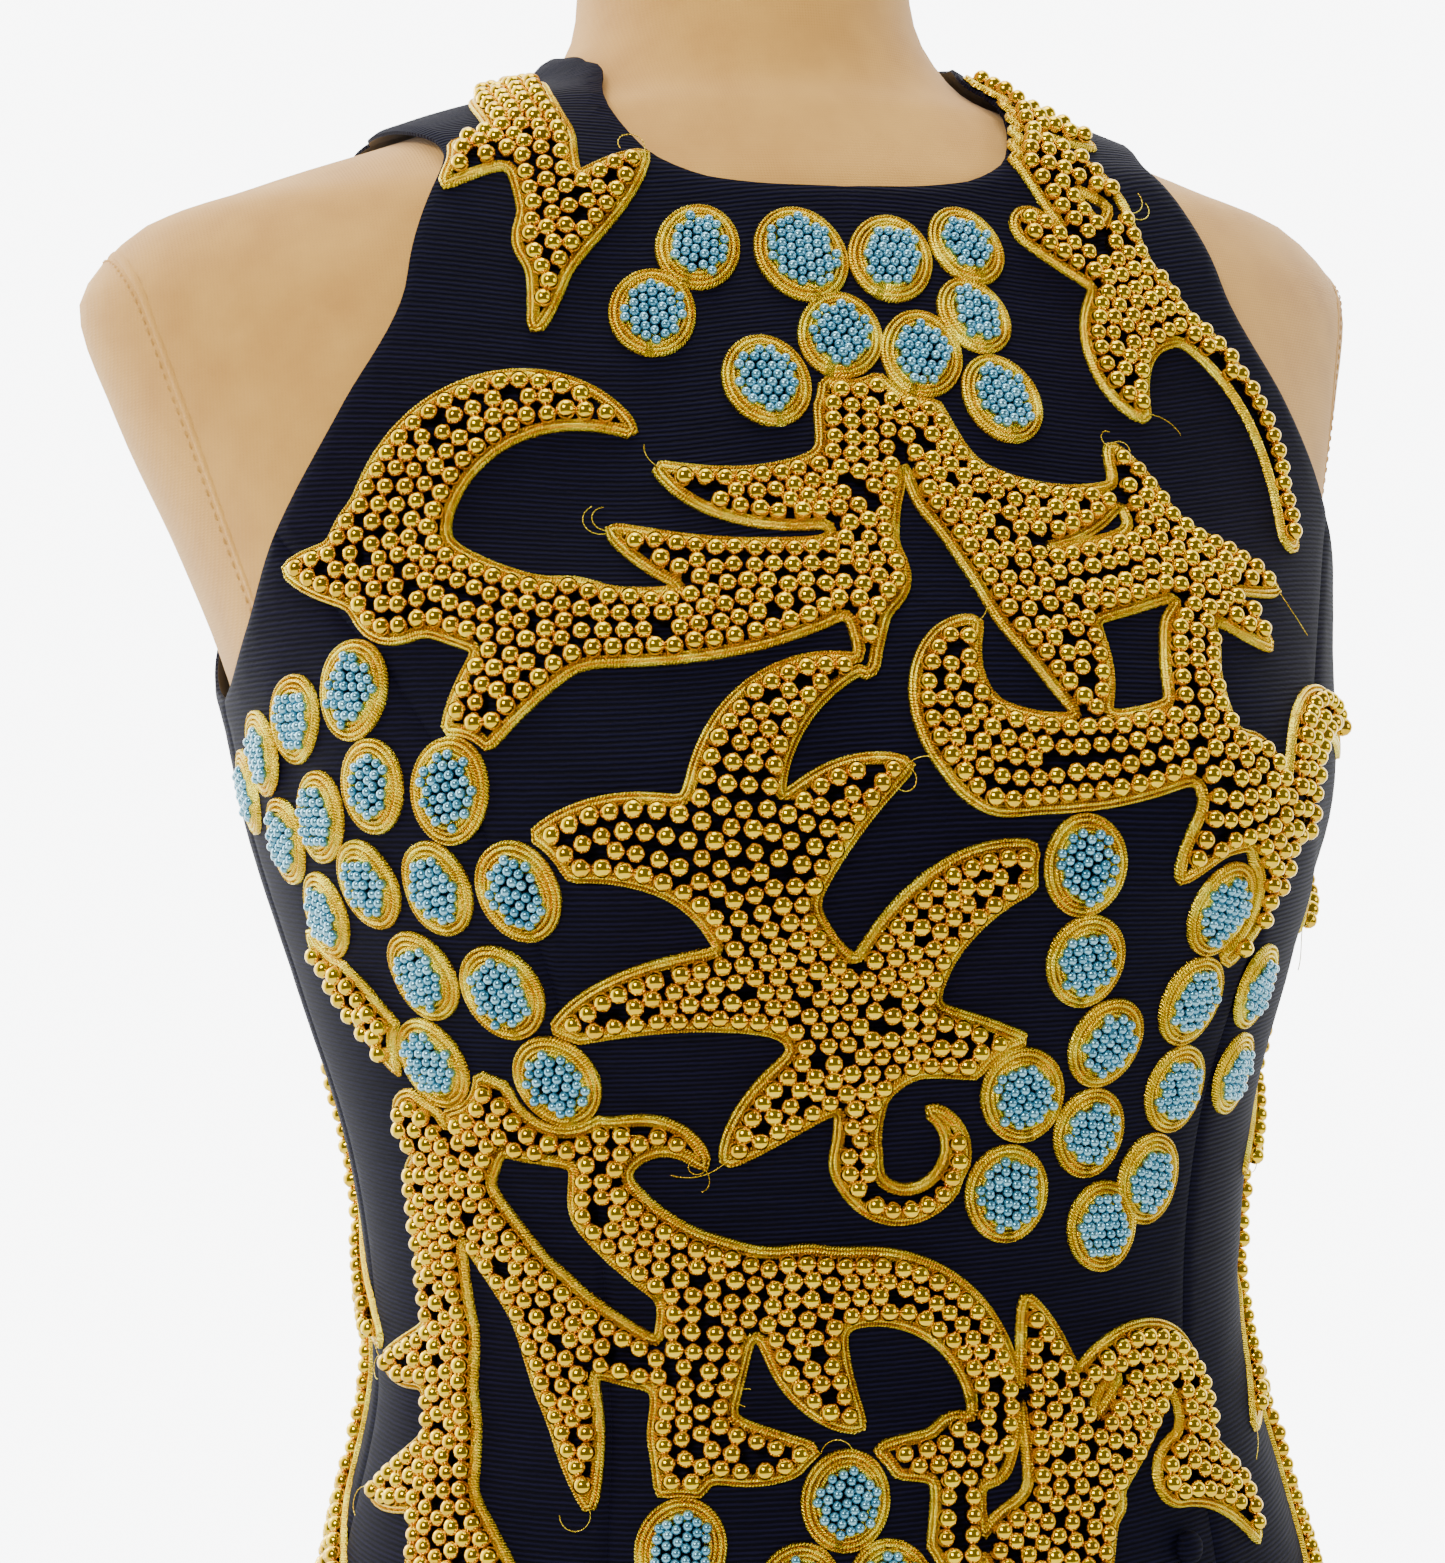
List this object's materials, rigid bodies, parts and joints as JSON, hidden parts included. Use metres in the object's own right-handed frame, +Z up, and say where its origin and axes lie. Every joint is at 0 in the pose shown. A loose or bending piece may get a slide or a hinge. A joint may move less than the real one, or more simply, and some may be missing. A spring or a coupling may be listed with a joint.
{
  "type": "beaded cocktail dress on a limbless dress form",
  "caption": "Sleeveless princess-line cocktail dress with a sewn vine of beads, braid and grape bunches, zipped up the back, on a limbless dress form with a pole and round foot.",
  "frame": {"origin": "centre of the foot's underside, under the pole's axis", "axes": "+Z up along the pole, -Y the dress's front, +X the wearer's left"},
  "size_m": [0.3858, 0.33, 1.496],
  "materials": {
    "ribbed_cloth": "midnight navy cloth with fine cross ribs, with a sewn vine of braid and beads",
    "covered_button": "small dome covered in dark cloth",
    "zip_metal": "antique brass zip",
    "linen_form": "natural linen over a moulded body",
    "pole_metal": "brushed tube",
    "foot_wood": "dark stained beech, satin"
  },
  "bodies": {
    "dress_on_form": {"front_centre": "ribbed_cloth", "side_front_left": "ribbed_cloth", "side_front_right": "ribbed_cloth", "side_back_left": "ribbed_cloth", "side_back_right": "ribbed_cloth", "back_left": "ribbed_cloth", "back_right": "ribbed_cloth", "zip_chain": "zip_metal", "zip_slider": "zip_metal", "hip_button_left": "covered_button", "hip_button_right": "covered_button", "dress_form": "linen_form", "pole": "pole_metal", "foot": "foot_wood"},
    "pull_tab": {"zip_pull_tab": "zip_metal"}
  },
  "joints": [
    {"name": "pull_tab_swing", "type": "hinge", "parent": "dress_on_form", "child": "pull_tab", "pos_m": [0, 0.09117, 1.3991], "axis": [1, 0, 0], "range_deg": [0, 160]}
  ]
}
